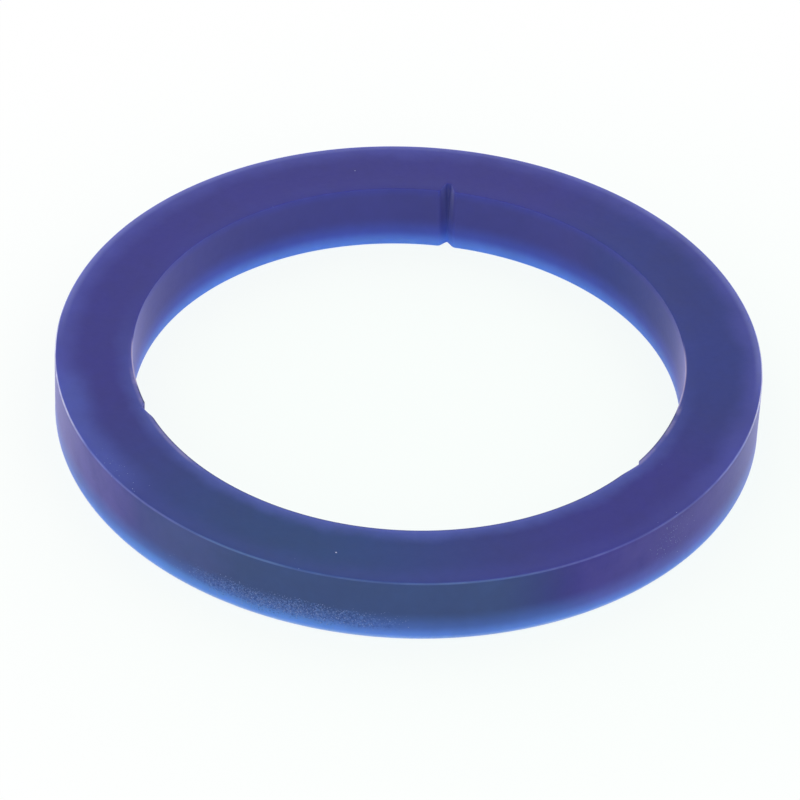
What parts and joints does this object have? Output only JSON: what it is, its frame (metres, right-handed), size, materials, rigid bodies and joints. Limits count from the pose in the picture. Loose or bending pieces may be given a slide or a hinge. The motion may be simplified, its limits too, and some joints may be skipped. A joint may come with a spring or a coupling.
{
  "type": "group head gasket",
  "caption": "Moulded silicone gasket for an espresso machine's group head: a square-section ring with small upright notches in its bore.",
  "frame": {"origin": "on the ring's axis, in the plane of its lower face", "axes": "+Z along the ring's axis, from the lower face to the upper face; +Y through the middle of one notch"},
  "size_m": [0.073, 0.073, 0.0075],
  "materials": {
    "silicone_blue": "matte"
  },
  "bodies": {
    "root": {"gasket": "silicone_blue"}
  },
  "joints": []
}
